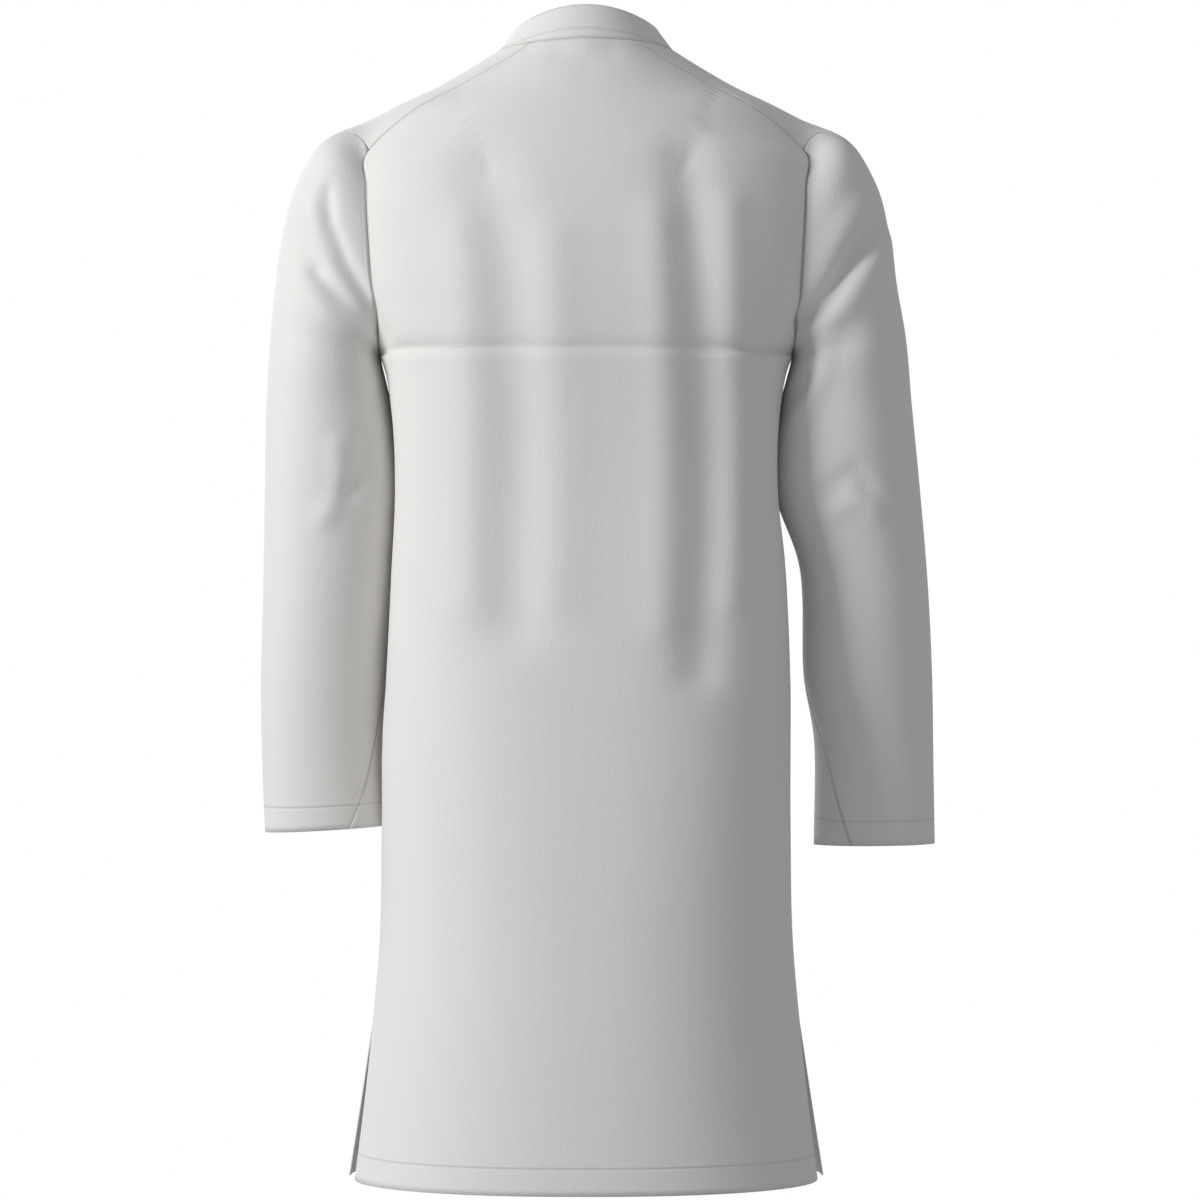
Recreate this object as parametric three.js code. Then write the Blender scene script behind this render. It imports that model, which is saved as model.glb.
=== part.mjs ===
// A stand-collared work coat for a general adult figure, worn shape, empty inside.
//
// Frame: millimetres, +Z up, the front of the coat faces -Y, the wearer's left is +X.
// The origin lies on the centre line at the height of the side neck points.
// Every piece of cloth is a thin wall cut from one of two smooth forms: the torso,
// a stack of level sections, and the sleeve, which starts as a strip over the
// shoulder and becomes a tube at the armpit.
import * as THREE from 'three';

const WALL = 1.6; // cloth thickness
const SEAM_GAP = 0.4; // clearance between two pieces that are sewn together
const LAP = 24; // each front reaches this far past the centre line
const LAP_DEPTH = 3.6; // the lower front is this far behind the upper one
const LAP_BLEND = 45; // the lower front reaches that depth over this width
const COLLAR_GAP = 4; // from the centre line to each end of the collar
const COLLAR_CORNER = 11; // radius of the collar's upper corners
const VENT_TOP = -850; // height at which each side seam ends
const HEM = -985;
const STUD = { radius: 6.5, height: 1.8, clearance: 0.35 };

const rows = (names, table) => table.map((row) => Object.fromEntries(row.map((v, i) => [names[i], v])));

// Level sections of the torso. side is the depth at which the section is widest.
const TORSO = rows(['z', 'halfWidth', 'side', 'back', 'front', 'power'], [
  [10, 66, -6, 57, -48, 2.0],
  [-5.5, 76, -6, 63, -53, 2.0],
  [-22, 103, -6, 70, -61, 2.0],
  [-39, 133, -6, 77, -69, 2.0],
  [-55, 167, -6, 83, -76, 2.05],
  [-66, 188, -7, 87, -82, 2.1],
  [-95, 204, -8, 97, -97, 2.3],
  [-130, 211, -10, 105, -113, 2.4],
  [-180, 210, -12, 111, -129, 2.4],
  [-225, 199, -12, 112, -138, 2.5],
  [-252, 187, -12, 110, -141, 2.6],
  [-273, 179, -12, 108, -142, 2.7],
  [-318, 175, -12, 104, -143, 2.75],
  [-385, 175, -12, 101, -143, 2.75],
  [-460, 177, -12, 103, -143, 2.7],
  [-560, 178, -12, 108, -142, 2.6],
  [-680, 178, -12, 115, -143, 2.5],
  [-780, 180, -12, 121, -145, 2.4],
  [-850, 186, -12, 126, -147, 2.35],
  [-918, 194, -12, 130, -149, 2.3],
  [HEM, 203, -12, 134, -151, 2.3],
]);

// The neck seam on the torso form: bearing from the side (0) to the back (90) or front (-90).
const NECK = rows(['bearing', 'z'], [
  [-90, -58],
  [-80, -53],
  [-69, -42],
  [-54, -27],
  [-36, -14],
  [0, -5.5],
  [29, -4.5],
  [50, -3],
  [90, -1],
]);

// Top edge of the collar.
const COLLAR = { halfWidth: 62, side: -6, back: 50, front: -62, sideZ: 13, backZ: 29, frontZ: -18 };

// Sections of the sleeve above the armpit. Each runs from the back seam over the top to the
// front seam. The two seams are given by bearing and height on the torso form. The first
// five sections lie on that form, and ridge is where they cross the shoulder line.
const SHOULDER = rows(['backBearing', 'backZ', 'ridge', 'frontBearing', 'frontZ'], [
  [50, -3, -5.5, -54, -27],
  [45, -15, -22, -57, -44],
  [37, -41, -39, -59, -66],
  [36, -67, -55, -59, -90],
  [25, -95, -66, -58, -118],
]);
const CAP = rows(['backBearing', 'backZ', 'x', 'y', 'z', 'depth', 'frontBearing', 'frontZ'], [
  [29, -130, 219, -6, -84, 80, -54, -150],
  [30, -180, 248, -8, -118, 80, -47, -190],
  [26, -225, 264, -10, -168, 74, -37, -232],
  [15, -258, 271, -11, -212, 70, -18, -260],
]);

// Sections of the sleeve tubes below the armpit, measured on the wearer's left and right.
const TUBE_COLUMNS = ['innerX', 'innerZ', 'outerX', 'outerZ', 'y', 'depth'];
const TUBE = {
  left: rows(TUBE_COLUMNS, [
    [179, -273, 275, -250, -12, 66],
    [169, -318, 279, -312, -15, 64],
    [163, -385, 281, -390, -22, 62],
    [168, -460, 283, -468, -33, 60],
    [175, -540, 286, -548, -46, 56],
    [180, -618, 286, -622, -58, 50],
    [177, -682, 284, -688, -66, 45],
  ]),
  right: rows(TUBE_COLUMNS, [
    [179, -273, 278, -250, -12, 66],
    [168, -318, 284, -312, -15, 64],
    [164, -386, 292, -390, -22, 62],
    [187, -455, 299, -465, -33, 59],
    [191, -548, 304, -548, -46, 56],
    [201, -610, 306, -622, -58, 50],
    [201, -699, 308, -698, -68, 45],
  ]),
};

// The torso gives way where each sleeve lies against it.
const PRESS_SIDE = -20;
const PRESS_REACH = 52;
const PRESS = {
  left: rows(['z', 'depth'], [[-273, 0], [-318, 8], [-385, 15], [-460, 12], [-540, 6], [-620, 0]]),
  right: rows(['z', 'depth'], [[-273, 0], [-318, 9], [-386, 14], [-440, 6], [-500, 2], [-560, 0]]),
};

// Round position of the seam that parts the sleeve's front piece from its back piece, by
// section number, and of the seam along the inside of the arm.
const OUTER_SEAM = rows(['section', 'round'], [
  [4, 0], [4.3, 0.2], [5, 0.33], [6, 0.43], [7, 0.5], [8, 0.53], [10, 0.55], [15, 0.55],
]);
const INNER_SEAM = rows(['section', 'round'], [[9, 0], [12.8, 0], [13.6, 0.05], [14.3, 0.11], [15, 0.18]]);

// Largest folds: path of a ridge (height above 0) or trough (below 0) seen square on.
const FOLDS = rows(['face', 'height', 'reach', 'path'], [
  ['back', -7, 26, [[-88, -120], [-96, -240], [-104, -420], [-100, -520]]],
  ['back', -6, 30, [[82, -110], [70, -240], [62, -420], [60, -520]]],
  ['back', 4, 26, [[-140, -300], [-135, -420]]],
  ['back', 5, 22, [[238, -170], [212, -225], [188, -262]]],
  ['back', -7, 15, [[226, -158], [202, -212], [180, -256]]],
  ['back', -9, 15, [[-258, -158], [-222, -198], [-190, -246]]],
  ['back', 5, 22, [[-262, -190], [-228, -232], [-196, -272]]],
  ['front', -6, 16, [[-214, -160], [-186, -226]]],
  ['front', -6, 16, [[214, -160], [186, -226]]],
  ['front', -6, 28, [[70, -150], [96, -320], [84, -460]]],
  ['front', -5, 30, [[-78, -170], [-90, -330], [-80, -430]]],
]);
const STUD_ROWS = [2, 7, 11, 14, 17, 20];

const MATERIALS = {
  cloth: { color: 0xe9e7e4, roughness: 0.82, metalness: 0 },
  stud: { color: 0xdcdcda, roughness: 0.4, metalness: 0 },
};

// ---- curves ----

const add = (a, b, scale = 1) => a.map((value, i) => value + b[i] * scale);
const mix = (a, b, t) => a.map((value, i) => value + (b[i] - value) * t);
const length = (a) => Math.hypot(...a);
const clamp = (value, low, high) => Math.min(high, Math.max(low, value));
const radians = THREE.MathUtils.degToRad;

// A smooth curve through vectors at rising knots.
function spline(knots, points) {
  const slope = (i) => add(points[i + 1], points[i], -1).map((v) => v / (knots[i + 1] - knots[i]));
  const tangents = points.map((_, i) => {
    if (i === 0) return slope(0);
    if (i === points.length - 1) return slope(i - 1);
    const before = knots[i] - knots[i - 1];
    const after = knots[i + 1] - knots[i];
    return mix(slope(i - 1), slope(i), before / (before + after));
  });
  return (at) => {
    let i = 0;
    while (i < knots.length - 2 && at > knots[i + 1]) i += 1;
    const span = knots[i + 1] - knots[i];
    const t = clamp((at - knots[i]) / span, 0, 1);
    const start = 2 * t ** 3 - 3 * t ** 2 + 1;
    const leave = t ** 3 - 2 * t ** 2 + t;
    const arrive = t ** 3 - t ** 2;
    return points[i].map((value, k) => start * value + (1 - start) * points[i + 1][k]
      + span * (leave * tangents[i][k] + arrive * tangents[i + 1][k]));
  };
}

// The columns of a table as functions of its key column.
function columns(table, key) {
  const names = Object.keys(table[0]).filter((name) => name !== key);
  const sorted = [...table].sort((a, b) => a[key] - b[key]);
  const curve = spline(sorted.map((row) => row[key]), sorted.map((row) => names.map((n) => row[n])));
  const first = sorted[0][key];
  const last = sorted.at(-1)[key];
  return (at) => Object.fromEntries(curve(clamp(at, first, last)).map((v, i) => [names[i], v]));
}

const torsoAt = columns(TORSO, 'z');
const neckAt = columns(NECK, 'bearing');
const pressAt = { left: columns(PRESS.left, 'z'), right: columns(PRESS.right, 'z') };
const outerSeamAt = columns(OUTER_SEAM, 'section');
const innerSeamAt = columns(INNER_SEAM, 'section');

// ---- forms ----

const raise = (value, power) => Math.sign(value) * Math.abs(value) ** power;

// Bearing 0 is the wearer's left, 90 the back, 180 the right and -90 the front.
function torso(bearing, z) {
  const { halfWidth, side, back, front, power } = torsoAt(z);
  const across = Math.cos(radians(bearing));
  const deep = Math.sin(radians(bearing));
  const y = side + (deep > 0 ? back - side : side - front) * raise(deep, 2 / power);
  const press = pressAt[across > 0 ? 'left' : 'right'](z).depth;
  const give = press * Math.exp(-(((y - PRESS_SIDE) / PRESS_REACH) ** 2)) * Math.abs(across);
  return [raise(across, 2 / power) * halfWidth - Math.sign(across) * give, y, z];
}

const parabola = (start, middle, end, t) => start * (1 - t) * (1 - 2 * t)
  + middle * 4 * t * (1 - t) + end * t * (2 * t - 1);

// An arc from the back seam point to the front one, round the far side of the arm.
function armArc(start, end, outer, depth, round) {
  const half = add(start, end, -1).map((v) => v / 2);
  const opening = Math.asin(Math.min(1, length(half) / depth));
  const deep = opening > 0.01 ? half.map((v) => v / Math.sin(opening)) : [0, depth, 0];
  const chord = mix(start, end, 0.5);
  const centre = mix(chord, outer, Math.cos(opening) / (1 + Math.cos(opening)));
  const turn = (Math.PI - opening) * (1 - 2 * round);
  return add(add(centre, add(outer, centre, -1), Math.cos(turn)), deep, Math.sin(turn));
}

// Every section of one sleeve as a function of the position round it, from the seam at its
// back (0) to the seam at its front (1), on the wearer's left.
function sleeveSections(side) {
  const shoulder = SHOULDER.map((row, index) => (round) => {
    const bearing = parabola(row.backBearing, 0, row.frontBearing, round);
    const level = parabola(row.backZ, row.ridge, row.frontZ, round);
    return torso(bearing, index === 0 ? neckAt(bearing).z : level);
  });
  const cap = CAP.map((row) => (round) => armArc(torso(row.backBearing, row.backZ),
    torso(row.frontBearing, row.frontZ), [row.x, row.y, row.z], row.depth, round));
  const tube = TUBE[side].map((row) => (round) => {
    const inner = [row.innerX, row.y, row.innerZ];
    return armArc(inner, inner, [row.outerX, row.y, row.outerZ], row.depth, ((round % 1) + 1) % 1);
  });
  return [...shoulder, ...cap, ...tube];
}

const ARMPIT = SHOULDER.length + CAP.length; // number of the first closed section
const JUNCTION = SHOULDER.length - 1; // the section where the back's two seams meet

function sleeveForm(side) {
  const sections = sleeveSections(side);
  const knots = [0];
  for (let i = 1; i < sections.length; i += 1) {
    knots.push(knots[i - 1] + length(add(sections[i](0.5), sections[i - 1](0.5), -1)));
  }
  const smooth = (section, round) => {
    const i = Math.min(Math.floor(section), knots.length - 2);
    const at = knots[i] + (section - i) * (knots[i + 1] - knots[i]);
    return spline(knots, sections.map((point) => point(round)))(at);
  };
  return (section, round) => {
    const point = smooth(section, section < ARMPIT ? clamp(round, 0, 1) : round);
    if (section <= ARMPIT || section >= ARMPIT + 1) return point;
    const half = add(smooth(section, 1), smooth(section, 0), -1).map((v) => v / 2);
    return add(add(point, half, (1 - round) ** 4), half, -(round ** 4));
  };
}

const mirror = (side, point) => (side === 'left' ? point : [-point[0], point[1], point[2]]);
const SLEEVE = { left: sleeveForm('left'), right: sleeveForm('right') };

// ---- panels as grids of points ----

const steps = (count) => Array.from({ length: count + 1 }, (_, i) => i / count);
const STRIP_SECTIONS = [0, 1, 2, 3, 4];
const CAP_SECTIONS = [4.5, 5, 5.5, 6, 6.5, 7, 7.5, 8, 8.5, 9];
const TUBE_SECTIONS = [9.5, 10, 10.5, 11, 11.4, 11.8, 12.2, 12.6, 13, 13.5, 14, 14.5, 15];
const ARM_SECTIONS = [...STRIP_SECTIONS, ...CAP_SECTIONS];
const BODY_LEVELS = steps(17).slice(1).map((t) => -273 + (HEM + 273) * t);
const BACK_STEPS = 14;
const FRONT_STEPS = 8;
const SLEEVE_FRONT_STEPS = 10;
const SLEEVE_BACK_STEPS = 7;
const COLLAR_STEPS = 2;

const seamPoint = (side, edge, section) => mirror(side, SLEEVE[side](section, edge === 'back' ? 0 : 1));

// Bearing of a torso point from its breadth and height, on the back (1) or the front (-1).
function bearingOf(x, z, face) {
  const { halfWidth, power } = torsoAt(z);
  const across = raise(clamp(x / halfWidth, -1, 1), power / 2);
  return face * THREE.MathUtils.radToDeg(Math.acos(across));
}

// Below its top the vent lets the back's edge fall behind the front's.
function ventShift(bearing, z, face) {
  const open = clamp((VENT_TOP - z) / (VENT_TOP - HEM), 0, 1) ** 0.7;
  const near = Math.max(Math.exp(-((bearing / 22) ** 2)), Math.exp(-(((180 - Math.abs(bearing)) / 22) ** 2)));
  const out = Math.abs(bearing) < 90 ? 1 : -1;
  const move = face === 'back' ? [-2 * out, 10, 0] : [4 * out, -3, 0];
  return move.map((value) => value * open * near);
}

// One level row of a torso panel from its first edge point to its last. The row follows the
// torso form and is drawn to each given edge point near its ends.
function torsoRow(from, to, levels, ends, count, face) {
  return steps(count).map((t) => {
    const bearing = from + (to - from) * t;
    const z = levels(t, bearing);
    const point = add(torso(bearing, z), ventShift(bearing, z, face));
    const first = ends[0] ? add(ends[0], torso(from, levels(0, from)), -1) : [0, 0, 0];
    const last = ends[1] ? add(ends[1], torso(to, levels(1, to)), -1) : [0, 0, 0];
    return add(add(point, first, (1 - t) ** 4), last, t ** 4);
  });
}

function backGrid() {
  const upper = ARM_SECTIONS.map((section, index) => {
    const left = seamPoint('left', 'back', section);
    const right = seamPoint('right', 'back', section);
    const from = section < ARMPIT ? bearingOf(left[0], left[2], 1) : 0;
    const level = (t, bearing) => (index === 0 ? neckAt(bearing > 90 ? 180 - bearing : bearing).z : left[2]);
    return torsoRow(from, 180 - from, level, [left, right], BACK_STEPS, 'back');
  });
  const lower = BODY_LEVELS.map((z) => torsoRow(0, 180, () => z, [], BACK_STEPS, 'back'));
  return [...upper, ...lower];
}

// How far along its drop a front row is. The neck edge follows the neck seam.
function frontLevel(index, edgeZ, centreZ) {
  return (t, bearing) => {
    if (index === 0) return neckAt(Math.max(bearing, -90)).z;
    return edgeZ + (centreZ - edgeZ) * Math.sin((Math.PI / 2) * t);
  };
}

function frontGrid(side) {
  const neckDrop = neckAt(-90).z;
  const seamTop = SHOULDER[0].frontZ;
  const armpitZ = TUBE[side][0].innerZ;
  const upper = ARM_SECTIONS.map((section, index) => {
    const edge = mirror(side, seamPoint(side, 'front', section));
    const from = section < ARMPIT ? bearingOf(edge[0], edge[2], -1) : 0;
    const centre = neckDrop + (edge[2] - seamTop) * ((armpitZ - neckDrop) / (armpitZ - seamTop));
    const to = bearingOf(-LAP, centre, -1);
    return torsoRow(from, to, frontLevel(index, edge[2], centre), [edge], FRONT_STEPS, 'front');
  });
  const lower = BODY_LEVELS.map((z) => torsoRow(0, bearingOf(-LAP, z, -1), () => z, [], FRONT_STEPS, 'front'));
  const behind = (x) => (side === 'left' ? 0 : LAP_DEPTH * THREE.MathUtils.smoothstep(LAP + LAP_BLEND - x, 0, LAP_BLEND));
  return [...upper, ...lower].map((row) => row.map(([x, y, z]) => mirror(side, [x, y + behind(x), z])));
}

function sleeveFrontGrid(side) {
  return [...ARM_SECTIONS, ...TUBE_SECTIONS].map((section) => {
    const from = section > JUNCTION ? outerSeamAt(section).round : 0;
    const to = section > ARMPIT ? 1 + innerSeamAt(section).round : 1;
    return steps(SLEEVE_FRONT_STEPS).map((t) => mirror(side, SLEEVE[side](section, from + (to - from) * t)));
  });
}

function sleeveBackGrid(side) {
  const junction = SLEEVE[side](JUNCTION, 0);
  const grid = [...CAP_SECTIONS, ...TUBE_SECTIONS].map((section) => {
    const from = section > ARMPIT ? innerSeamAt(section).round : 0;
    const to = outerSeamAt(section).round;
    return steps(SLEEVE_BACK_STEPS).map((t) => SLEEVE[side](section, from + (to - from) * t));
  });
  const tip = grid[0].map((point) => mix(junction, point, 0.15));
  return [tip, ...grid].map((row) => row.map((point) => mirror(side, point)));
}

// The collar stands on the neck edges of the panels and shares their points, from the centre
// front round the wearer's left, the back and the right.
function collarGrid(panels) {
  const half = (side, sign) => {
    const front = panels[`front_${side}`][0].filter((point) => point[0] * sign > COLLAR_GAP).reverse();
    const centre = mix(front[0], [-front[0][0], front[0][1], front[0][2]], 0.5 - COLLAR_GAP / (2 * Math.abs(front[0][0])));
    return [centre, ...front.slice(0, -1), ...panels[`sleeve_front_${side}`][0].slice().reverse().slice(0, -1)];
  };
  const base = [...half('left', 1), ...panels.back[0], ...half('right', -1).reverse()];
  const { halfWidth, side, back, front, sideZ, backZ, frontZ } = COLLAR;
  const top = base.map(([x, y]) => {
    const bearing = Math.atan2((y - side) / 66, x / 76);
    const deep = Math.sin(bearing);
    const z = sideZ + (deep > 0 ? backZ - sideZ : sideZ - frontZ) * raise(deep, deep > 0 ? 2 : 1);
    return [halfWidth * Math.cos(bearing), side + (deep > 0 ? back - side : side - front) * deep, z];
  });
  return steps(COLLAR_STEPS).map((t) => base.map((point, i) => {
    const end = Math.abs(point[0]) - COLLAR_GAP;
    const inset = clamp(COLLAR_CORNER - (point[1] < 0 ? end : COLLAR_CORNER), 0, COLLAR_CORNER);
    const cut = COLLAR_CORNER - Math.sqrt(COLLAR_CORNER ** 2 - inset ** 2);
    const raised = mix(point, top[i], t);
    return [raised[0], raised[1], raised[2] - cut * t];
  }));
}

function makePanels() {
  const panels = { back: backGrid() };
  for (const side of ['left', 'right']) {
    panels[`front_${side}`] = frontGrid(side);
    panels[`sleeve_front_${side}`] = sleeveFrontGrid(side);
    panels[`sleeve_back_${side}`] = sleeveBackGrid(side);
  }
  panels.collar = collarGrid(panels);
  return panels;
}

// ---- walls ----

const cross = (a, b) => [a[1] * b[2] - a[2] * b[1], a[2] * b[0] - a[0] * b[2], a[0] * b[1] - a[1] * b[0]];
const unit = (a) => a.map((value) => value / (length(a) || 1));
const keyOf = (point) => point.map((value) => Math.round(value * 20)).join();

// Outward normals, shared where two pieces meet so that their walls are mitred together.
function sharedNormals(panels) {
  const sums = new Map();
  for (const [name, grid] of Object.entries(panels)) {
    const outward = facing(name);
    for (let r = 0; r < grid.length - 1; r += 1) {
      for (let c = 0; c < grid[0].length - 1; c += 1) {
        const corners = [grid[r][c], grid[r][c + 1], grid[r + 1][c + 1], grid[r + 1][c]];
        const flat = unit(cross(add(corners[2], corners[0], -1), add(corners[3], corners[1], -1)));
        for (const corner of corners) {
          const key = keyOf(corner);
          sums.set(key, add(sums.get(key) ?? [0, 0, 0], flat, outward));
        }
      }
    }
  }
  return (point) => unit(sums.get(keyOf(point)));
}

// Whether a grid's rows and columns already turn outward.
function facing(name) {
  if (name === 'back') return -1;
  if (name === 'collar') return 1;
  const left = name.endsWith('left') ? 1 : -1;
  return left;
}

function distanceToPath(path, x, z) {
  let nearest = Infinity;
  for (let i = 0; i < path.length - 1; i += 1) {
    const [ax, az] = path[i];
    const [bx, bz] = path[i + 1];
    const along = ((x - ax) * (bx - ax) + (z - az) * (bz - az)) / ((bx - ax) ** 2 + (bz - az) ** 2);
    const t = clamp(along, 0, 1);
    nearest = Math.min(nearest, Math.hypot(x - ax - (bx - ax) * t, z - az - (bz - az) * t));
  }
  return nearest;
}

function foldHeight([x, , z], normal) {
  return FOLDS.reduce((sum, fold) => {
    const faced = Math.max(0, normal[1] * (fold.face === 'back' ? 1 : -1));
    return sum + fold.height * faced * Math.exp(-((distanceToPath(fold.path, x, z) / fold.reach) ** 2));
  }, 0);
}

// A closed wall on a grid: its outer skin, its inner skin and its four edges.
function wall(grid, outward, normalOf) {
  const height = grid.length;
  const width = grid[0].length;
  const normals = grid.map((row) => row.map(normalOf));
  const folded = grid.map((row, r) => row.map((p, c) => add(p, normals[r][c], foldHeight(p, normals[r][c]))));
  const towards = (point, next) => mix(point, next, Math.min(0.4, SEAM_GAP / 2 / length(add(next, point, -1))));
  const inset = folded.map((row, r) => row.map((point, c) => {
    let moved = point;
    if (c === 0) moved = towards(moved, row[1]);
    if (c === width - 1) moved = towards(moved, row[width - 2]);
    if (r === 0) moved = towards(moved, folded[1][c]);
    if (r === height - 1) moved = towards(moved, folded[height - 2][c]);
    return moved;
  }));
  const outer = inset.flat();
  const inner = inset.flatMap((row, r) => row.map((point, c) => add(point, normals[r][c], -WALL)));
  const positions = [...outer, ...inner].flat();
  const index = [];
  const half = width * height;
  const quad = (a, b, c, d) => {
    if (outward > 0) index.push(a, b, c, a, c, d);
    else index.push(a, c, b, a, d, c);
  };
  for (let r = 0; r < height - 1; r += 1) {
    for (let c = 0; c < width - 1; c += 1) {
      const a = r * width + c;
      quad(a, a + 1, a + width + 1, a + width);
      quad(half + a, half + a + width, half + a + width + 1, half + a + 1);
    }
  }
  for (let c = 0; c < width - 1; c += 1) {
    const last = (height - 1) * width + c;
    quad(c, half + c, half + c + 1, c + 1);
    quad(last, last + 1, half + last + 1, half + last);
  }
  for (let r = 0; r < height - 1; r += 1) {
    const a = r * width;
    const b = a + width - 1;
    quad(a, a + width, half + a + width, half + a);
    quad(b, half + b, half + b + width, b + width);
  }
  const geometry = new THREE.BufferGeometry();
  geometry.setAttribute('position', new THREE.Float32BufferAttribute(positions, 3));
  geometry.setIndex(index);
  return geometry;
}

const finish = (kind) => new THREE.MeshStandardMaterial(MATERIALS[kind]);

function namedMesh(name, geometry, kind) {
  const mesh = new THREE.Mesh(geometry, finish(kind));
  mesh.name = name;
  return mesh;
}

// A press-stud cap flat on the upper front, on the facet that crosses the centre line.
function stud(name, grid, row) {
  const column = grid[row].findIndex((point) => point[0] <= 0) - 1;
  const corners = [grid[row][column], grid[row][column + 1], grid[row + 1][column + 1], grid[row + 1][column]];
  const centre = mix(mix(corners[0], corners[1], 0.5), mix(corners[2], corners[3], 0.5), 0.5);
  const outward = unit(cross(add(corners[2], corners[0], -1), add(corners[3], corners[1], -1)));
  const out = outward[1] < 0 ? outward : outward.map((value) => -value);
  const { radius, height, clearance } = STUD;
  const cap = namedMesh(name, new THREE.CylinderGeometry(radius * 0.8, radius, height, 20), 'stud');
  cap.quaternion.setFromUnitVectors(new THREE.Vector3(0, 1, 0), new THREE.Vector3(...out));
  cap.position.set(...add(centre, out, clearance + height / 2));
  return cap;
}

const coat = new THREE.Group();
const panels = makePanels();
const normalOf = sharedNormals(panels);
for (const [name, grid] of Object.entries(panels)) {
  coat.add(namedMesh(name, wall(grid, facing(name), normalOf), 'cloth'));
}
STUD_ROWS.forEach((row, i) => coat.add(stud(`stud_${i + 1}`, panels.front_left, row)));

export default coat;
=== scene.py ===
"""Looks of the work coat: dense cloth on the same forms as its frame, folds, weave and light."""
import math

import bpy
import numpy as np
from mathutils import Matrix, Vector


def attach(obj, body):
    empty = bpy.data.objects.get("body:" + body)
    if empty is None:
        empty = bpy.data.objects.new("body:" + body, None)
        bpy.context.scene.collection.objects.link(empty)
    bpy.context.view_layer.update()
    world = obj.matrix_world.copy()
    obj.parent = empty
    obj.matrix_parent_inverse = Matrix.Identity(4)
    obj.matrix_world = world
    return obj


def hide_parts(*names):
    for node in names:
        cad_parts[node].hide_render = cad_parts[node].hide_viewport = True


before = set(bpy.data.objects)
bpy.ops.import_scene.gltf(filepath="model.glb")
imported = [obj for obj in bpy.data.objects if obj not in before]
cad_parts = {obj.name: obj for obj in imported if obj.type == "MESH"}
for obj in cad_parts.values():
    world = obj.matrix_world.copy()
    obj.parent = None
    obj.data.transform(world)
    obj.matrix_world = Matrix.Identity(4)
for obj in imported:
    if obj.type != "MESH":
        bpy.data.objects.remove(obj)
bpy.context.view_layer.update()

MM = 0.001
WALL = 1.4  # millimetres, as are all sizes in the form tables
SEAM_GAP = 0.4
LAP = 24
LAP_DEPTH = 3.6
LAP_BLEND = 45
COLLAR_GAP = 4
COLLAR_CORNER = 11
VENT_TOP = -850
HEM = -985
HEM_BAND = 23
FINE = 6.0  # grid step down a piece
PRESS_SIDE = -20  # depth at which the sleeves press the torso
PRESS_REACH = 52
VENT_SPREAD = 22  # degrees round the torso over which an open vent moves
VENT_MOVE = {"back": (-2, 10), "front": (4, -3)}  # outward and backward, at the hem
COLLAR = {"half_width": 62, "side": -6, "deep": 56, "side_z": 13, "back_rise": 16, "front_drop": 31}
NECK_RING = (76, 66)  # half breadth and half depth of the neck seam
COLUMNS = {"back": 84, "front": 52, "sleeve_front": 61, "sleeve_back": 41, "collar": 9}
TIP_SHARE = 0.15  # the sleeve back's pointed top starts this far below the junction of its seams
DART_DEPTH = 1.5
DART_REACH = 2.5
RIB_PITCH = 0.0021  # metres, as are all lengths in the materials
THREAD_PITCH = 0.0016
STITCH_PITCH = 0.0032

# Level sections of the torso: z, half width, depth of the side, back, front, power.
TORSO = np.array([
    (10, 66, -6, 57, -48, 2.0), (-5.5, 76, -6, 63, -53, 2.0), (-22, 103, -6, 70, -61, 2.0),
    (-39, 133, -6, 77, -69, 2.0), (-55, 167, -6, 83, -76, 2.05), (-66, 188, -7, 87, -82, 2.1),
    (-95, 204, -8, 97, -97, 2.3), (-130, 211, -10, 105, -113, 2.4), (-180, 210, -12, 111, -129, 2.4),
    (-225, 199, -12, 112, -138, 2.5), (-252, 187, -12, 110, -141, 2.6), (-273, 179, -12, 108, -142, 2.7),
    (-318, 175, -12, 104, -143, 2.75), (-385, 175, -12, 101, -143, 2.75), (-460, 177, -12, 103, -143, 2.7),
    (-560, 178, -12, 108, -142, 2.6), (-680, 178, -12, 115, -143, 2.5), (-780, 180, -12, 121, -145, 2.4),
    (-850, 186, -12, 126, -147, 2.35), (-918, 194, -12, 130, -149, 2.3), (HEM, 203, -12, 134, -151, 2.3),
], float)[::-1]
# Neck seam: bearing, z.
NECK = np.array([(-90, -58), (-80, -53), (-69, -42), (-54, -27), (-36, -14), (0, -5.5), (29, -4.5),
                 (50, -3), (90, -1)], float)
# Strip over the shoulder: back bearing, back z, ridge z, front bearing, front z.
SHOULDER = ((50, -3, -5.5, -54, -27), (45, -15, -22, -57, -44), (37, -41, -39, -59, -66),
            (36, -67, -55, -59, -90), (25, -95, -66, -58, -118))
# Sleeve cap: back bearing, back z, outermost x, y, z, depth, front bearing, front z.
CAP = ((29, -130, 219, -6, -84, 80, -54, -150), (30, -180, 248, -8, -118, 80, -47, -190),
       (26, -225, 264, -10, -168, 74, -37, -232), (15, -258, 271, -11, -212, 70, -18, -260))
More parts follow.
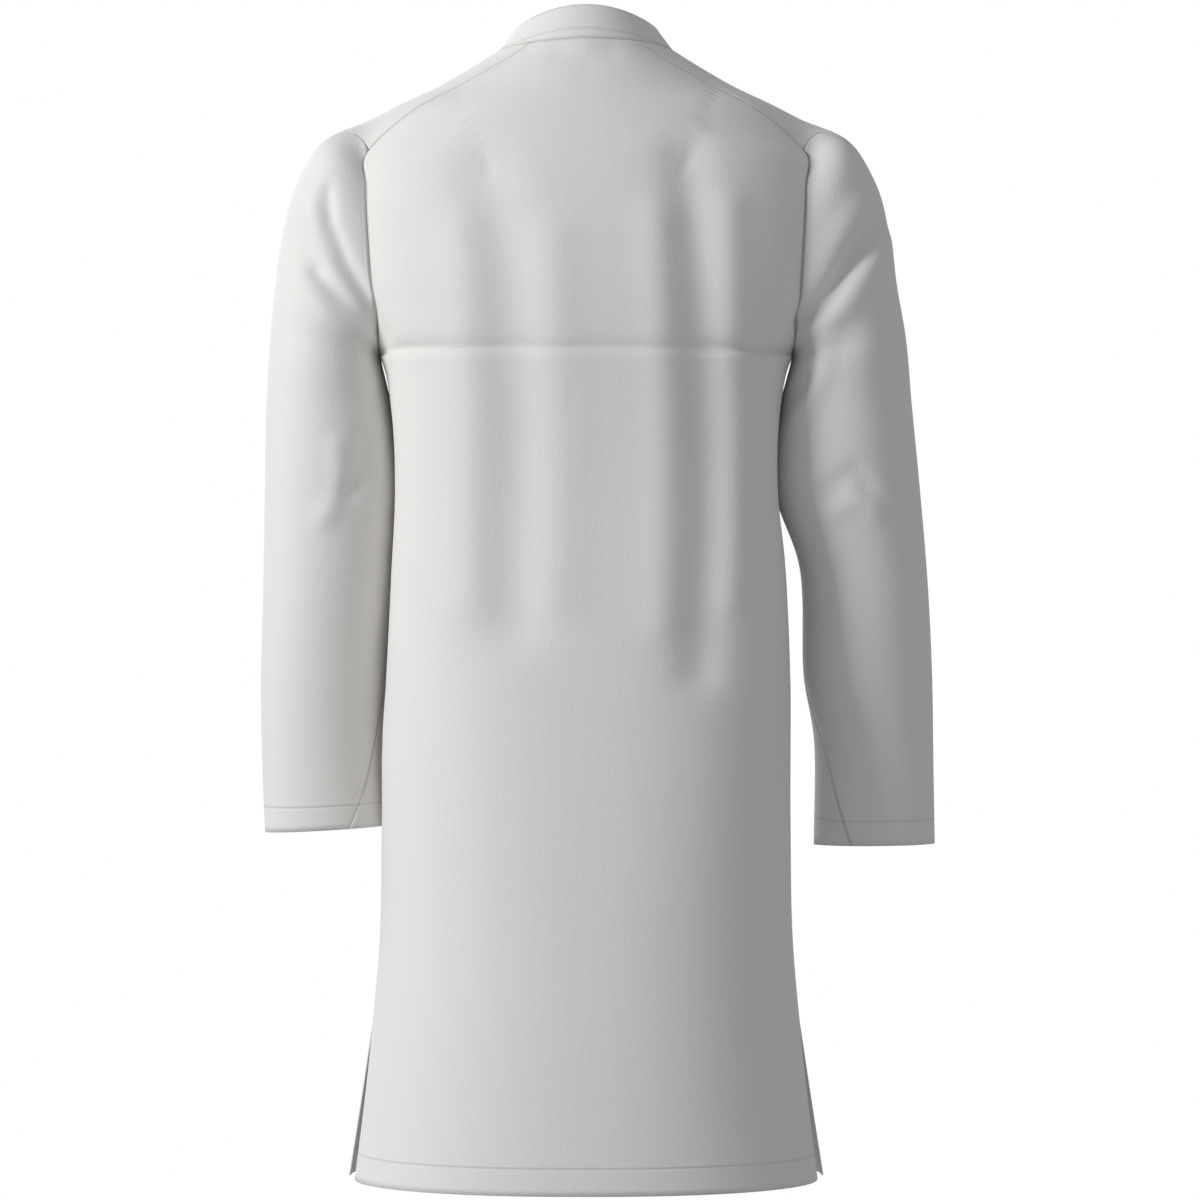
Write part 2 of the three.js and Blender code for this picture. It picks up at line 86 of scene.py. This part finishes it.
# Sleeve tube: inner x, inner z, outer x, outer z, y, depth.
TUBE = {
    "left": (
        (179, -273, 275, -250, -12, 66),
        (169, -318, 279, -312, -15, 64),
        (163, -385, 281, -390, -22, 62),
        (168, -460, 283, -468, -33, 60),
        (175, -540, 286, -548, -46, 56),
        (180, -618, 286, -622, -58, 50),
        (177, -682, 284, -688, -66, 45),
    ),
    "right": (
        (179, -273, 278, -250, -12, 66),
        (168, -318, 284, -312, -15, 64),
        (164, -386, 292, -390, -22, 62),
        (187, -455, 299, -465, -33, 59),
        (191, -548, 304, -548, -46, 56),
        (201, -610, 306, -622, -58, 50),
        (201, -699, 308, -698, -68, 45),
    ),
}
PRESS = {  # how far each sleeve presses the torso in: z, depth
    "left": np.array([(-620, 0), (-540, 6), (-460, 12), (-385, 15), (-318, 8), (-273, 0)], float),
    "right": np.array([(-560, 0), (-500, 2), (-440, 6), (-386, 14), (-318, 9), (-273, 0)], float),
}
# Place of each sleeve seam round the arm: section, share of the way round.
OUTER_SEAM = np.array([(4, 0), (4.3, 0.2), (5, 0.33), (6, 0.43), (7, 0.5), (8, 0.53), (10, 0.55), (15, 0.55)])
INNER_SEAM = np.array([(9, 0), (12.8, 0), (13.6, 0.05), (14.3, 0.11), (15, 0.18)])
ARMPIT = 9  # the first closed section of a sleeve
JUNCTION = 4  # the section where the back's two seams meet

# Folds: face, height (below 0 is a trough), reach, path as (x, z).
FOLDS = (
    ("back", -6, 20, ((-86, -110), (-94, -190), (-102, -300), (-106, -420), (-98, -540))),
    ("back", 3, 16, ((-122, -150), (-128, -330), (-124, -480))),
    ("back", 3, 18, ((-60, -160), (-66, -330), (-64, -500))),
    ("back", -5, 26, ((86, -120), (68, -200), (58, -330), (60, -500))),
    ("back", 2.5, 20, ((28, -180), (22, -330), (26, -480))),
    ("back", 3, 22, ((104, -170), (100, -330), (102, -480))),
    ("back", -9, 7, ((-258, -156), (-224, -198), (-214, -212), (-186, -244))),
    ("back", 6, 13, ((-268, -168), (-238, -206), (-206, -248), (-188, -272))),
    ("back", 4, 12, ((-240, -142), (-214, -180), (-192, -224))),
    ("back", -6, 6, ((224, -134), (220, -160), (206, -194), (190, -221), (172, -258))),
    ("back", 4, 10, ((238, -146), (230, -180), (210, -214), (184, -252))),
    ("back", -4, 6, ((230, -201), (210, -222), (176, -256))),
    ("back", 3, 9, ((244, -205), (222, -236), (186, -268))),
    ("back", -3, 9, ((250, -134), (233, -194))),
    ("back", -4, 8, ((190, -345), (188, -372), (206, -392))),
    ("back", 3, 9, ((214, -352), (212, -392), (226, -412))),
    ("back", -3, 8, ((-206, -388), (-232, -372), (-242, -386))),
    ("back", 2.5, 8, ((-212, -408), (-236, -396), (-250, -408))),
    ("back", -5, 8, ((-178, -280), (-194, -272), (-186, -300), (-168, -322))),
    ("back", 5, 9, ((-206, -262), (-202, -290), (-182, -326))),
    ("back", -2, 7, ((-108, -80), (-148, -86), (-182, -92))),
    ("back", 1.6, 8, ((-112, -92), (-150, -99), (-184, -104))),
    ("back", -2, 8, ((116, -76), (150, -88), (182, -98))),
    ("back", -2, 12, ((-20, -14), (0, -20), (22, -15))),
    ("front", -7, 9, ((-226, -156), (-198, -206), (-184, -246))),
    ("front", 5, 12, ((-238, -178), (-210, -226), (-190, -262))),
    ("front", -7, 9, ((224, -150), (200, -204), (182, -246))),
    ("front", 5, 12, ((238, -172), (208, -224), (188, -260))),
    ("front", -4, 22, ((64, -150), (92, -290), (84, -460))),
    ("front", -4, 24, ((-70, -170), (-92, -330), (-80, -470))),
    ("front", -3, 9, ((216, -360), (244, -378), (262, -370))),
    ("front", -3, 9, ((-226, -366), (-252, -384), (-276, -378))),
    ("front", -3, 30, ((120, -520), (110, -760), (118, -940))),
    ("front", 3, 30, ((-130, -540), (-120, -780), (-132, -950))),
)
# Sewn shoulder darts in the back, as (x, z).
DARTS = (((-112, -43), (-84, -118)), ((112, -45), (80, -122)))


def curve(knots, values, at):
    """A smooth curve through rows of values at rising knots."""
    knots = np.asarray(knots, float)
    values = np.asarray(values, float)
    at = np.clip(np.atleast_1d(np.asarray(at, float)), knots[0], knots[-1])
    gaps = np.diff(knots)
    shape = (-1,) + (1,) * (values.ndim - 1)
    slopes = np.diff(values, axis=0) / gaps.reshape(shape)
    weight = (gaps[:-1] / (gaps[:-1] + gaps[1:])).reshape(shape)
    middle = slopes[:-1] + (slopes[1:] - slopes[:-1]) * weight
    tangents = np.concatenate([slopes[:1], middle, slopes[-1:]])
    i = np.clip(np.searchsorted(knots, at, side="left") - 1, 0, len(knots) - 2)
    span = gaps[i]
    t = (at - knots[i]) / span
    t, span = t.reshape(shape), span.reshape(shape)
    start = 2 * t ** 3 - 3 * t ** 2 + 1
    leave = t ** 3 - 2 * t ** 2 + t
    arrive = t ** 3 - t ** 2
    return (start * values[i] + (1 - start) * values[i + 1]
            + span * (leave * tangents[i] + arrive * tangents[i + 1]))


def raised(value, power):
    return np.sign(value) * np.abs(value) ** power


def torso(bearing, z):
    """Points of the torso form; bearing 0 is the wearer's left and 90 the back."""
    bearing, z = np.broadcast_arrays(np.atleast_1d(np.asarray(bearing, float)), np.asarray(z, float))
    half, side, back, front, power = curve(TORSO[:, 0], TORSO[:, 1:], z).T
    across, deep = np.cos(np.radians(bearing)), np.sin(np.radians(bearing))
    y = side + np.where(deep > 0, back - side, side - front) * raised(deep, 2 / power)
    left = curve(PRESS["left"][:, 0], PRESS["left"][:, 1], z)
    right = curve(PRESS["right"][:, 0], PRESS["right"][:, 1], z)
    give = np.where(across > 0, left, right) * np.exp(-((y - PRESS_SIDE) / PRESS_REACH) ** 2) * np.abs(across)
    return np.stack([raised(across, 2 / power) * half - np.sign(across) * give, y, z], -1)


def neck_level(bearing):
    folded = np.where(bearing > 90, 180 - bearing, np.maximum(bearing, -90))
    return curve(NECK[:, 0], NECK[:, 1], folded)


def parabola(start, middle, end, t):
    return start * (1 - t) * (1 - 2 * t) + middle * 4 * t * (1 - t) + end * t * (2 * t - 1)


def arm_arc(start, end, outer, depth, turns):
    half = (start - end) / 2
    opening = math.asin(min(1, np.linalg.norm(half) / depth))
    deep = half / math.sin(opening) if opening > 0.01 else np.array([0, depth, 0.0])
    share = math.cos(opening) / (1 + math.cos(opening))
    centre = (start + end) / 2 * (1 - share) + outer * share
    angle = ((math.pi - opening) * (1 - 2 * turns))[:, None]
    return centre + (outer - centre) * np.cos(angle) + deep * np.sin(angle)


def sleeve_rows(side, turns):
    """Every named section of a sleeve at the given positions round it."""
    turns = np.atleast_1d(turns).astype(float)
    rows = []
    open_turns = np.clip(turns, 0, 1)
    for i, (back, back_z, ridge, front, front_z) in enumerate(SHOULDER):
        bearing = parabola(back, 0, front, open_turns)
        level = neck_level(bearing) if i == 0 else parabola(back_z, ridge, front_z, open_turns)
        rows.append(torso(bearing, level))
    for back, back_z, x, y, z, depth, front, front_z in CAP:
        outer = np.array([x, y, z], float)
        rows.append(arm_arc(torso(back, back_z)[0], torso(front, front_z)[0], outer, depth, open_turns))
    for inner_x, inner_z, outer_x, outer_z, y, depth in TUBE[side]:
        inner = np.array([inner_x, y, inner_z], float)
        rows.append(arm_arc(inner, inner, np.array([outer_x, y, outer_z], float), depth, turns))
    return np.array(rows)


RIDGE = {side: sleeve_rows(side, 0.5)[:, 0] for side in TUBE}
KNOTS = {side: np.concatenate([[0], np.cumsum(np.linalg.norm(np.diff(RIDGE[side], axis=0), axis=1))])
         for side in TUBE}


def sleeve(side, section, turns):
    """Points of a sleeve at a section number, at shares of the way round from its back seam."""
    knots = KNOTS[side]
    i = min(int(section), len(knots) - 2)
    at = knots[i] + (section - i) * (knots[i + 1] - knots[i])
    turns = np.atleast_1d(turns).astype(float)
    points = curve(knots, sleeve_rows(side, turns), at)[0]
    if ARMPIT < section < ARMPIT + 1:
        ends = curve(knots, sleeve_rows(side, np.array([0.0, 1.0])), at)[0]
        half = (ends[1] - ends[0]) / 2
        points = points + half * ((1 - turns) ** 4)[:, None] - half * (turns ** 4)[:, None]
    return points


def sections(first, last):
    """Section numbers from first to last, a fine step apart down the arm."""
    marks = [first]
    knots = KNOTS["left"]
    for i in range(math.floor(first), math.ceil(last)):
        count = max(2, round((knots[i + 1] - knots[i]) / FINE))
        marks += [i + (k + 1) / count for k in range(count) if i + (k + 1) / count > first + 1e-9]
    return marks


ARM = sections(0, ARMPIT)
FOREARM = sections(ARMPIT, len(KNOTS["left"]) - 1)[1:]
LEVELS = np.linspace(-273, HEM, 1 + round((-273 - HEM) / FINE))[1:]


def flip(side, grid):
    return grid if side == "left" else grid * np.array([-1, 1, 1])


def bearing_of(x, z, face):
    half, power = curve(TORSO[:, 0], TORSO[:, [1, 5]], z)[0]
    across = min(1.0, abs(x) / half) ** (power / 2)
    return face * math.degrees(math.acos(math.copysign(across, x)))


def vent_shift(bearing, z, face):
    opened = np.clip((VENT_TOP - z) / (VENT_TOP - HEM), 0, 1) ** 0.7
    near = np.exp(-(np.minimum(np.abs(bearing), 180 - np.abs(bearing)) / VENT_SPREAD) ** 2)
    out = np.where(np.abs(bearing) < 90, 1, -1)
    outward, backward = VENT_MOVE[face]
    return np.stack([outward * out, np.full_like(out, backward), 0 * out], -1) * (opened * near)[:, None]


def torso_row(start, stop, level, ends, count, face):
    """A row of a torso panel, drawn to its given end points."""
    t = np.linspace(0, 1, count + 1)
    bearing = start + (stop - start) * t
    z = level(t, bearing)
    points = torso(bearing, z) + vent_shift(bearing, z, face)
    if ends[0] is not None:
        points = points + (ends[0] - torso(start, z[0])[0]) * ((1 - t) ** 4)[:, None]
    if ends[1] is not None:
        points = points + (ends[1] - torso(stop, z[-1])[0]) * (t ** 4)[:, None]
    return points


def neck_row(t, bearing):
    return neck_level(bearing)


def flat_row(z):
    return lambda t, bearing: np.full_like(t, z)


def falling_row(edge_z, centre_z):
    """A row of a front, which drops from its seam and is level at the centre."""
    return lambda t, bearing: edge_z + (centre_z - edge_z) * np.sin(np.pi / 2 * t)


def back_grid():
    grid = []
    for index, section in enumerate(ARM):
        left = sleeve("left", section, 0)[0]
        right = flip("right", sleeve("right", section, 0)[0])
        start = bearing_of(left[0], left[2], 1) if section < ARMPIT else 0
        level = neck_row if index == 0 else flat_row(left[2])
        grid.append(torso_row(start, 180 - start, level, (left, right), COLUMNS["back"], "back"))
    for z in LEVELS:
        grid.append(torso_row(0, 180, flat_row(z), (None, None), COLUMNS["back"], "back"))
    return np.array(grid)


def front_grid(side):
    grid = []
    neck_drop, seam_top, armpit_z = NECK[0, 1], SHOULDER[0][4], TUBE[side][0][1]
    for index, section in enumerate(ARM):
        edge = sleeve(side, section, 1)[0]
        start = bearing_of(edge[0], edge[2], -1) if section < ARMPIT else 0
        centre = neck_drop + (edge[2] - seam_top) * (armpit_z - neck_drop) / (armpit_z - seam_top)
        stop = bearing_of(-LAP, centre, -1)
        level = neck_row if index == 0 else falling_row(edge[2], centre)
        grid.append(torso_row(start, stop, level, (edge, None), COLUMNS["front"], "front"))
    for z in LEVELS:
        stop = bearing_of(-LAP, z, -1)
        grid.append(torso_row(0, stop, flat_row(z), (None, None), COLUMNS["front"], "front"))
    grid = np.array(grid)
    if side == "right":
        behind = np.clip((LAP + LAP_BLEND - grid[..., 0]) / LAP_BLEND, 0, 1)
        grid[..., 1] += LAP_DEPTH * behind ** 2 * (3 - 2 * behind)
    return flip(side, grid)


def seam_at(table, section):
    return float(curve(table[:, 0], table[:, 1], section)[0])


def sleeve_front_grid(side):
    grid = []
    for section in ARM + FOREARM:
        start = seam_at(OUTER_SEAM, section) if section > JUNCTION else 0
        stop = 1 + (seam_at(INNER_SEAM, section) if section > ARMPIT else 0)
        grid.append(sleeve(side, section, np.linspace(start, stop, COLUMNS["sleeve_front"])))
    return flip(side, np.array(grid))


def sleeve_back_grid(side):
    junction = sleeve(side, JUNCTION, 0)
    grid = []
    for section in [s for s in ARM if s > JUNCTION] + FOREARM:
        start = seam_at(INNER_SEAM, section) if section > ARMPIT else 0
        stop = seam_at(OUTER_SEAM, section)
        grid.append(sleeve(side, section, np.linspace(start, stop, COLUMNS["sleeve_back"])))
    tip = junction + (grid[0] - junction) * TIP_SHARE
    return flip(side, np.array([tip] + grid))


def collar_grid(panels):
    """The collar stands on the neck edges of the panels and shares their points."""
    def half(side, sign):
        edge = [p for p in panels["front_" + side][0] if p[0] * sign > COLLAR_GAP][::-1]
        end = np.array([sign * COLLAR_GAP, edge[0][1], edge[0][2]])
        return [end] + edge[:-1] + list(panels["sleeve_front_" + side][0][::-1])[:-1]
    base = np.array(half("left", 1) + list(panels["back"][0]) + half("right", -1)[::-1])
    bearing = np.arctan2((base[:, 1] - COLLAR["side"]) / NECK_RING[1], base[:, 0] / NECK_RING[0])
    deep = np.sin(bearing)
    rise = np.where(deep > 0, COLLAR["back_rise"] * deep ** 2, COLLAR["front_drop"] * deep)
    top_x = COLLAR["half_width"] * np.cos(bearing)
    top_y = COLLAR["side"] + COLLAR["deep"] * deep
    top = np.stack([top_x, top_y, COLLAR["side_z"] + rise], -1)
    from_end = np.abs(base[:, 0]) - COLLAR_GAP
    inset = np.where(base[:, 1] < 0, np.clip(COLLAR_CORNER - from_end, 0, COLLAR_CORNER), 0)
    cut = COLLAR_CORNER - np.sqrt(COLLAR_CORNER ** 2 - inset ** 2)
    grid = []
    for t in np.linspace(0, 1, COLUMNS["collar"]):
        row = base + (top - base) * t
        row[:, 2] -= cut * t
        grid.append(row)
    return np.array(grid)


def outward_sign(name):
    if name == "back":
        return -1
    return -1 if name.endswith("right") else 1


def panel_normals(name, grid):
    down, along = np.gradient(grid, axis=0), np.gradient(grid, axis=1)
    normals = np.cross(along, down) * outward_sign(name)
    return normals / np.maximum(np.linalg.norm(normals, axis=-1, keepdims=True), 1e-9)


def share_seam_normals(panels, normals):
    """Give edge points that two pieces share one normal, so that folds cross seams unbroken."""
    sums = {}
    edges = []
    for name, grid in panels.items():
        rows, cols = grid.shape[:2]
        sides = {(r, c) for r in range(rows) for c in (0, cols - 1)}
        ends = {(r, c) for c in range(cols) for r in (0, rows - 1)}
        for r, c in sorted(sides | ends):
            key = tuple(np.round(grid[r, c] * 20).astype(int))
            sums[key] = sums.get(key, 0) + normals[name][r, c]
            edges.append((name, r, c, key))
    for name, r, c, key in edges:
        normals[name][r, c] = sums[key] / np.linalg.norm(sums[key])


def path_distance(points, path):
    nearest = np.full(points.shape[:-1], 1e9)
    x, z = points[..., 0], points[..., 2]
    for (ax, az), (bx, bz) in zip(path, path[1:]):
        t = np.clip(((x - ax) * (bx - ax) + (z - az) * (bz - az)) / ((bx - ax) ** 2 + (bz - az) ** 2), 0, 1)
        nearest = np.minimum(nearest, np.hypot(x - ax - (bx - ax) * t, z - az - (bz - az) * t))
    return nearest


def fold_height(points, normals):
    total = np.zeros(points.shape[:-1])
    for face, height, reach, path in FOLDS:
        faced = np.maximum(0, normals[..., 1] * (1 if face == "back" else -1))
        total += height * faced * np.exp(-(path_distance(points, path) / reach) ** 2)
    return total


def step_lengths(grid, axis):
    return np.linalg.norm(np.diff(grid, axis=axis), axis=-1)


def build_piece(name, grid, normals):
    """One piece of cloth: folded, held clear of its seams, given a wall and attached to the root body."""
    grid = grid + normals * fold_height(grid, normals)[..., None]
    if name == "back":
        for path in DARTS:
            dip = DART_DEPTH * np.exp(-(path_distance(grid, path) / DART_REACH) ** 2)
            grid = grid - normals * dip[..., None]
    rows, cols = grid.shape[:2]
    along = np.concatenate([np.zeros((1, cols)), np.cumsum(step_lengths(grid, 0), 0)])
    across = np.concatenate([np.zeros((rows, 1)), np.cumsum(step_lengths(grid, 1), 1)], 1)
    to_hem = along[-1] - along
    to_side = np.minimum(across, across[:, -1:] - across)
    pulled = grid.copy()
    for edge, inside in ((0, 1), (-1, -2)):
        step = pulled[:, inside] - pulled[:, edge]
        pulled[:, edge] += step * SEAM_GAP / 2 / np.maximum(np.linalg.norm(step, axis=-1, keepdims=True), 0.6)
        step = pulled[inside] - pulled[edge]
        pulled[edge] += step * SEAM_GAP / 2 / np.maximum(np.linalg.norm(step, axis=-1, keepdims=True), 0.6)
    faces = []
    for r in range(rows - 1):
        for c in range(cols - 1):
            a = r * cols + c
            quad = (a, a + 1, a + cols + 1, a + cols)
            faces.append(quad if outward_sign(name) > 0 else quad[::-1])
    mesh = bpy.data.meshes.new(name + "_cloth")
    mesh.from_pydata((pulled.reshape(-1, 3) * MM).tolist(), [], faces)
    for label, values in (("across", across), ("along", along), ("to_hem", to_hem), ("to_side", to_side)):
        layer = mesh.attributes.new(label, "FLOAT", "POINT")
        layer.data.foreach_set("value", (values.reshape(-1) * MM).astype(np.float32))
    mesh.polygons.foreach_set("use_smooth", [True] * len(faces))
    piece = bpy.data.objects.new(name + "_cloth", mesh)
    bpy.context.scene.collection.objects.link(piece)
    solid = piece.modifiers.new("wall", "SOLIDIFY")
    solid.thickness = WALL * MM
    solid.offset = -1
    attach(piece, "root")
    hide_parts(name)
    return piece


def tinted(name, colour, roughness):
    material = bpy.data.materials.new(name)
    material.use_nodes = True
    shader = material.node_tree.nodes["Principled BSDF"]
    shader.inputs["Base Color"].default_value = (*colour, 1)
    shader.inputs["Roughness"].default_value = roughness
    return material, material.node_tree, shader


def cloth_material():
    """Off-white twill: fine ribs, a stitched line above each hem and a pressed line by each seam, with
    painted shade darkening the colour in the grooves of these lines.
    """
    material, tree, shader = tinted("coat_cloth", (0.80, 0.785, 0.765), 0.78)
    nodes, links = tree.nodes, tree.links

    def attribute(label):
        node = nodes.new("ShaderNodeAttribute")
        node.attribute_name = label
        return node.outputs["Fac"]

    def calc(kind, *values):
        node = nodes.new("ShaderNodeMath")
        node.operation = kind
        for socket, value in zip(node.inputs, values):
            if isinstance(value, (int, float)):
                socket.default_value = value
            else:
                links.new(value, socket)
        return node.outputs[0]

    def line(distance, centre, width):
        offset = calc("DIVIDE", calc("SUBTRACT", distance, centre), width)
        return calc("POWER", 2.718, calc("MULTIPLY", calc("MULTIPLY", offset, offset), -1))

    across, along = attribute("across"), attribute("along")
    slanted = calc("ADD", along, calc("MULTIPLY", across, 0.35))
    ribs = calc("SINE", calc("MULTIPLY", slanted, 2 * math.pi / RIB_PITCH))
    threads = calc("SINE", calc("MULTIPLY", across, 2 * math.pi / THREAD_PITCH))
    hem = line(attribute("to_hem"), HEM_BAND * MM, 0.0011)
    pressed = line(attribute("to_side"), 0.0, 0.0022)
    stitch = line(attribute("to_side"), 0.0065, 0.0006)
    run = calc("MULTIPLY", calc("ADD", along, across), 2 * math.pi / STITCH_PITCH)
    dashes = calc("GREATER_THAN", calc("SINE", run), -0.4)
    seams = calc("ADD", calc("MULTIPLY", hem, 1.0), calc("MULTIPLY", pressed, 0.8))
    seams = calc("ADD", seams, calc("MULTIPLY", calc("MULTIPLY", stitch, dashes), 0.35))
    weave = calc("ADD", calc("MULTIPLY", ribs, 0.05), calc("MULTIPLY", threads, 0.03))
    noise = nodes.new("ShaderNodeTexNoise")
    noise.inputs["Scale"].default_value = 55
    noise.inputs["Detail"].default_value = 5
    soft = calc("MULTIPLY", noise.outputs["Fac"], 0.35)
    height = calc("SUBTRACT", calc("ADD", weave, soft), seams)
    bump = nodes.new("ShaderNodeBump")
    bump.inputs["Strength"].default_value = 0.45
    bump.inputs["Distance"].default_value = 0.0012
    links.new(height, bump.inputs["Height"])
    links.new(bump.outputs["Normal"], shader.inputs["Normal"])
    # Colour B is painted shade: the colour darkens along the seam, hem and stitch lines, in their grooves;
    # the ribs add a faint darker tint of their own.
    shade = nodes.new("ShaderNodeMix")
    shade.data_type = "RGBA"
    shade.inputs["A"].default_value = (0.80, 0.785, 0.765, 1)
    shade.inputs["B"].default_value = (0.60, 0.58, 0.56, 1)
    seam_shade_and_rib_tint = calc("ADD", calc("MULTIPLY", seams, 0.35), calc("MULTIPLY", ribs, 0.03))
    links.new(calc("MINIMUM", calc("MAXIMUM", seam_shade_and_rib_tint, 0.0), 1.0), shade.inputs["Factor"])
    links.new(shade.outputs["Result"], shader.inputs["Base Color"])
    shader.inputs["Sheen Weight"].default_value = 0.25
    shader.inputs["Sheen Roughness"].default_value = 0.5
    shader.inputs["Specular IOR Level"].default_value = 0.25
    return material


def stud_material():
    material, tree, shader = tinted("stud_cap", (0.72, 0.72, 0.70), 0.4)
    noise = tree.nodes.new("ShaderNodeTexNoise")
    noise.inputs["Scale"].default_value = 900
    bump = tree.nodes.new("ShaderNodeBump")
    bump.inputs["Strength"].default_value = 0.05
    tree.links.new(noise.outputs["Fac"], bump.inputs["Height"])
    tree.links.new(bump.outputs["Normal"], shader.inputs["Normal"])
    return material


def make_camera():
    data = bpy.data.cameras.new("camera")
    data.sensor_width = 36
    data.lens = 138
    camera = bpy.data.objects.new("camera", data)
    camera.location = (-0.012, 4.0, -0.483)
    camera.rotation_euler = (math.radians(90), 0, math.radians(180))
    bpy.context.scene.collection.objects.link(camera)
    bpy.context.scene.camera = camera


def make_light(name, place, size, power):
    data = bpy.data.lights.new(name, "AREA")
    data.size = size
    data.energy = power
    light = bpy.data.objects.new(name, data)
    light.location = place
    light.rotation_euler = (Vector((0, 0, -0.45)) - Vector(place)).to_track_quat("-Z", "Y").to_euler()
    bpy.context.scene.collection.objects.link(light)


def make_world():
    """White to the camera, soft grey as light."""
    world = bpy.data.worlds.new("world")
    world.use_nodes = True
    tree = world.node_tree
    tree.nodes.clear()
    seen, lit = tree.nodes.new("ShaderNodeBackground"), tree.nodes.new("ShaderNodeBackground")
    seen.inputs["Color"].default_value = (1, 1, 1, 1)
    lit.inputs["Color"].default_value = (0.96, 0.98, 1, 1)
    lit.inputs["Strength"].default_value = 0.36
    path, choice = tree.nodes.new("ShaderNodeLightPath"), tree.nodes.new("ShaderNodeMixShader")
    output = tree.nodes.new("ShaderNodeOutputWorld")
    tree.links.new(path.outputs["Is Camera Ray"], choice.inputs[0])
    tree.links.new(lit.outputs[0], choice.inputs[1])
    tree.links.new(seen.outputs[0], choice.inputs[2])
    tree.links.new(choice.outputs[0], output.inputs["Surface"])
    bpy.context.scene.world = world


make_camera()
make_light("key", (3.4, 2.0, 0.9), 1.5, 120)
make_light("front_key", (1.5, -3.0, 1.0), 1.6, 45)
make_world()
bpy.context.scene.view_settings.view_transform = "Standard"

panels = {"back": back_grid()}
for side in ("left", "right"):
    panels["front_" + side] = front_grid(side)
    panels["sleeve_front_" + side] = sleeve_front_grid(side)
    panels["sleeve_back_" + side] = sleeve_back_grid(side)
panels["collar"] = collar_grid(panels)
normals = {name: panel_normals(name, grid) for name, grid in panels.items()}
share_seam_normals(panels, normals)
cloth = cloth_material()
for name, grid in panels.items():
    build_piece(name, grid, normals[name]).data.materials.append(cloth)
stud = stud_material()
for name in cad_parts:
    if name.startswith("stud"):
        node = bpy.data.objects[name]
        node.data.materials.clear()
        node.data.materials.append(stud)

bpy.context.view_layer.update()
